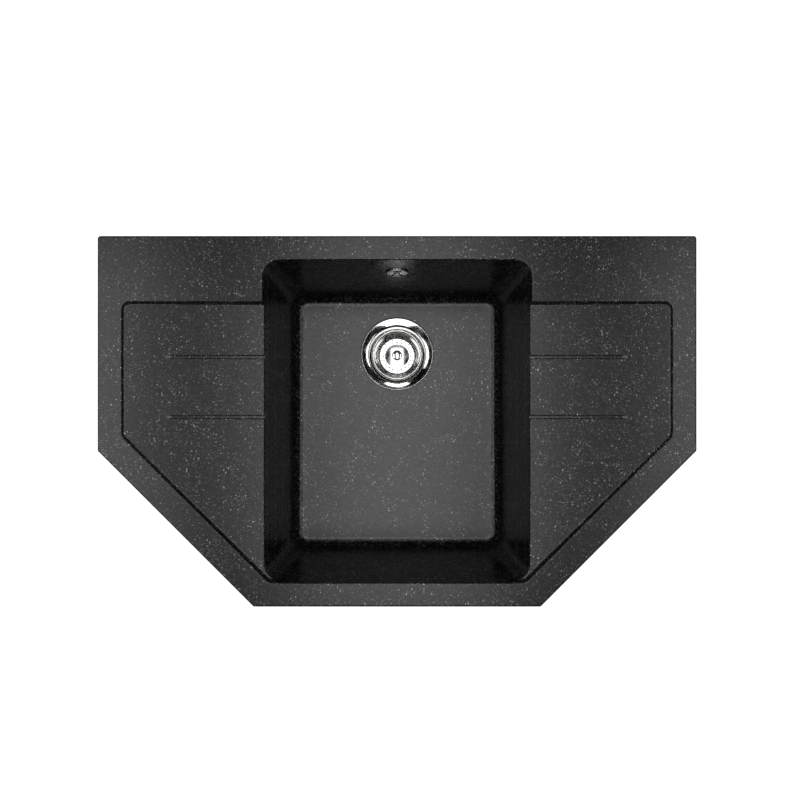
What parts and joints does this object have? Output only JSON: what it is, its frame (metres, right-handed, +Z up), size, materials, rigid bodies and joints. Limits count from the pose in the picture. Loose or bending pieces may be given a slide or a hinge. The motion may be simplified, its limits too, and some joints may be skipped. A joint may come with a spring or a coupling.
{
  "type": "corner kitchen sink",
  "caption": "Inset corner kitchen sink of black composite stone with a deep bowl, a drainer on each side, cut front corners, a basket waste and an overflow.",
  "frame": {"origin": "middle of the outline on the worktop's surface, which is the underside of the sealing strip under the rim", "axes": "+X to the right along the straight back edge, +Y to the back edge, +Z up out of the worktop"},
  "size_m": [0.78, 0.483, 0.282],
  "materials": {
    "composite_stone": "fine matt, flecked",
    "grey_foam": "matt foam",
    "black_rubber": "matt",
    "polished_steel": "mirror polish",
    "basket_steel": "bright",
    "knob_steel": "mirror polish",
    "plain_steel": "satin",
    "white_plastic": "moulded, satin",
    "hose_plastic": "satin",
    "socket_plastic": "matt",
    "zinc_plate": "zinc plated"
  },
  "bodies": {
    "sink": {"sink_body": "composite_stone", "rim_seal": "grey_foam", "waste_cup": "polished_steel", "flange_seal": "black_rubber", "under_seal": "black_rubber", "waste_housing": "white_plastic", "waste_screw": "plain_steel", "overflow_cover": "polished_steel", "overflow_screw": "plain_steel", "overflow_seal": "black_rubber", "overflow_elbow": "white_plastic", "overflow_hose": "hose_plastic", "upper_hose_nut": "white_plastic", "lower_hose_nut": "white_plastic", "clip_sockets": "socket_plastic"},
    "basket_stem": {"basket_stopper": "black_rubber", "basket_post": "plain_steel"},
    "basket": {"strainer_basket": "basket_steel", "basket_knob": "knob_steel"},
    "clip_1_drive": {"clip_1_screw": "zinc_plate"},
    "clip_1_arm": {"clip_1_claw": "zinc_plate"},
    "clip_2_drive": {"clip_2_screw": "zinc_plate"},
    "clip_2_arm": {"clip_2_claw": "zinc_plate"},
    "clip_3_drive": {"clip_3_screw": "zinc_plate"},
    "clip_3_arm": {"clip_3_claw": "zinc_plate"},
    "clip_4_drive": {"clip_4_screw": "zinc_plate"},
    "clip_4_arm": {"clip_4_claw": "zinc_plate"},
    "clip_5_drive": {"clip_5_screw": "zinc_plate"},
    "clip_5_arm": {"clip_5_claw": "zinc_plate"},
    "clip_6_drive": {"clip_6_screw": "zinc_plate"},
    "clip_6_arm": {"clip_6_claw": "zinc_plate"},
    "clip_7_drive": {"clip_7_screw": "zinc_plate"},
    "clip_7_arm": {"clip_7_claw": "zinc_plate"},
    "clip_8_drive": {"clip_8_screw": "zinc_plate"},
    "clip_8_arm": {"clip_8_claw": "zinc_plate"}
  },
  "joints": [
    {"name": "basket_lift", "type": "slide", "parent": "sink", "child": "basket_stem", "axis": [0, 0, 1], "range_m": [0, 0.045]},
    {"name": "basket_turn", "type": "hinge", "parent": "basket_stem", "child": "basket", "pos_m": [0, 0.1065, -0.2], "axis": [0, 0, 1], "continuous": true},
    {"name": "clip_1_tighten", "type": "slide", "parent": "sink", "child": "clip_1_drive", "axis": [0, 0, 1], "range_m": [0, 0.011]},
    {"name": "clip_1_swing", "type": "hinge", "parent": "clip_1_drive", "child": "clip_1_arm", "pos_m": [0.292, 0.2085, -0.054], "axis": [0, 0, -1], "range_deg": [0, 90]},
    {"name": "clip_2_tighten", "type": "slide", "parent": "sink", "child": "clip_2_drive", "axis": [0, 0, 1], "range_m": [0, 0.011]},
    {"name": "clip_2_swing", "type": "hinge", "parent": "clip_2_drive", "child": "clip_2_arm", "pos_m": [0.357, 0.04, -0.054], "axis": [0, 0, -1], "range_deg": [0, 90]},
    {"name": "clip_3_tighten", "type": "slide", "parent": "sink", "child": "clip_3_drive", "axis": [0, 0, 1], "range_m": [0, 0.011]},
    {"name": "clip_3_swing", "type": "hinge", "parent": "clip_3_drive", "child": "clip_3_arm", "pos_m": [0.30901, -0.07283, -0.054], "axis": [0, 0, -1], "range_deg": [0, 90]},
    {"name": "clip_4_tighten", "type": "slide", "parent": "sink", "child": "clip_4_drive", "axis": [0, 0, 1], "range_m": [0, 0.011]},
    {"name": "clip_4_swing", "type": "hinge", "parent": "clip_4_drive", "child": "clip_4_arm", "pos_m": [0.23405, -0.14778, -0.054], "axis": [0, 0, -1], "range_deg": [0, 90]},
    {"name": "clip_5_tighten", "type": "slide", "parent": "sink", "child": "clip_5_drive", "axis": [0, 0, 1], "range_m": [0, 0.011]},
    {"name": "clip_5_swing", "type": "hinge", "parent": "clip_5_drive", "child": "clip_5_arm", "pos_m": [-0.292, 0.2085, -0.054], "axis": [0, 0, 1], "range_deg": [0, 90]},
    {"name": "clip_6_tighten", "type": "slide", "parent": "sink", "child": "clip_6_drive", "axis": [0, 0, 1], "range_m": [0, 0.011]},
    {"name": "clip_6_swing", "type": "hinge", "parent": "clip_6_drive", "child": "clip_6_arm", "pos_m": [-0.357, 0.04, -0.054], "axis": [0, 0, 1], "range_deg": [0, 90]},
    {"name": "clip_7_tighten", "type": "slide", "parent": "sink", "child": "clip_7_drive", "axis": [0, 0, 1], "range_m": [0, 0.011]},
    {"name": "clip_7_swing", "type": "hinge", "parent": "clip_7_drive", "child": "clip_7_arm", "pos_m": [-0.30901, -0.07283, -0.054], "axis": [0, 0, 1], "range_deg": [0, 90]},
    {"name": "clip_8_tighten", "type": "slide", "parent": "sink", "child": "clip_8_drive", "axis": [0, 0, 1], "range_m": [0, 0.011]},
    {"name": "clip_8_swing", "type": "hinge", "parent": "clip_8_drive", "child": "clip_8_arm", "pos_m": [-0.23405, -0.14778, -0.054], "axis": [0, 0, 1], "range_deg": [0, 90]}
  ]
}
